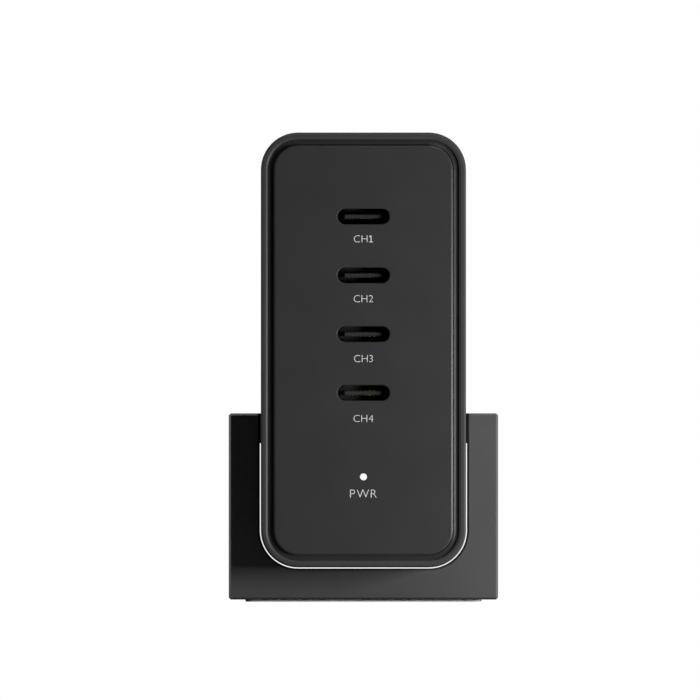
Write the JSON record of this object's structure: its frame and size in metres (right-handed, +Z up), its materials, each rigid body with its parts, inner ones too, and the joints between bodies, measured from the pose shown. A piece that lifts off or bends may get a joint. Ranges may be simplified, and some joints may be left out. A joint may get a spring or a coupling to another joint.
{
  "type": "multi port usb desktop charger",
  "caption": "Upright desktop charger with a column of charging ports in an inlaid front panel, a mains inlet at the back, resting in a slotted block stand.",
  "frame": {"origin": "on the desk, under the middle of the charger, in the plane of the foot pad", "axes": "+Z up, -Y out of the ports, +X to the right of someone facing the ports"},
  "size_m": [0.045, 0.072, 0.0782],
  "materials": {
    "stand_metal": "black anodised, fine blasted",
    "foot_rubber": "matt",
    "grip_rubber": "matt",
    "housing_plastic": "fine satin",
    "cap_plastic": "satin",
    "panel_plastic": "matt",
    "light_pipe": "milky, lit",
    "port_metal": "blackened",
    "tongue_plastic": "moulded",
    "contact_metal": "gold plated",
    "board_laminate": "solder mask",
    "lamp_resin": "cast",
    "inlet_plastic": "moulded",
    "pin_metal": "nickel plated",
    "tag_metal": "tinned strip",
    "black_resin": "moulded",
    "ferrite": "sintered",
    "winding_copper": "enamelled wire",
    "can_metal": "sleeved can",
    "film_box": "moulded box",
    "fuse_box": "moulded box",
    "spreader_metal": "rolled sheet",
    "heat_pad": "soft pad"
  },
  "bodies": {
    "root": {"stand_block": "stand_metal", "stand_foot_pad": "foot_rubber", "grip_strip_left": "grip_rubber", "grip_strip_right": "grip_rubber", "housing_shell": "housing_plastic", "front_bezel": "cap_plastic", "front_panel": "panel_plastic", "light_pipe": "light_pipe", "port_shell_1": "port_metal", "port_shell_2": "port_metal", "port_shell_3": "port_metal", "port_shell_4": "port_metal", "port_tongue_1": "tongue_plastic", "port_tongue_2": "tongue_plastic", "port_tongue_3": "tongue_plastic", "port_tongue_4": "tongue_plastic", "port_contacts_1": "contact_metal", "port_contacts_2": "contact_metal", "port_contacts_3": "contact_metal", "port_contacts_4": "contact_metal", "port_board": "board_laminate", "main_board": "board_laminate", "status_led": "lamp_resin", "inlet_body": "inlet_plastic", "inlet_pins": "pin_metal", "inlet_tags": "tag_metal", "bridge_rectifier": "black_resin", "power_transistors": "black_resin", "control_chips": "black_resin", "transformer_core": "ferrite", "boost_choke_core": "ferrite", "line_filter_core": "ferrite", "output_inductor_1": "ferrite", "output_inductor_2": "ferrite", "output_inductor_3": "ferrite", "output_inductor_4": "ferrite", "transformer_winding": "winding_copper", "boost_choke_winding": "winding_copper", "line_filter_windings": "winding_copper", "output_capacitor_1": "can_metal", "output_capacitor_2": "can_metal", "output_capacitor_3": "can_metal", "output_capacitor_4": "can_metal", "bulk_capacitor_1": "can_metal", "bulk_capacitor_2": "can_metal", "film_capacitor": "film_box", "mains_fuse": "fuse_box", "heat_spreader_left": "spreader_metal", "heat_spreader_right": "spreader_metal", "heat_pad_left": "heat_pad", "heat_pad_right": "heat_pad"}
  },
  "joints": []
}
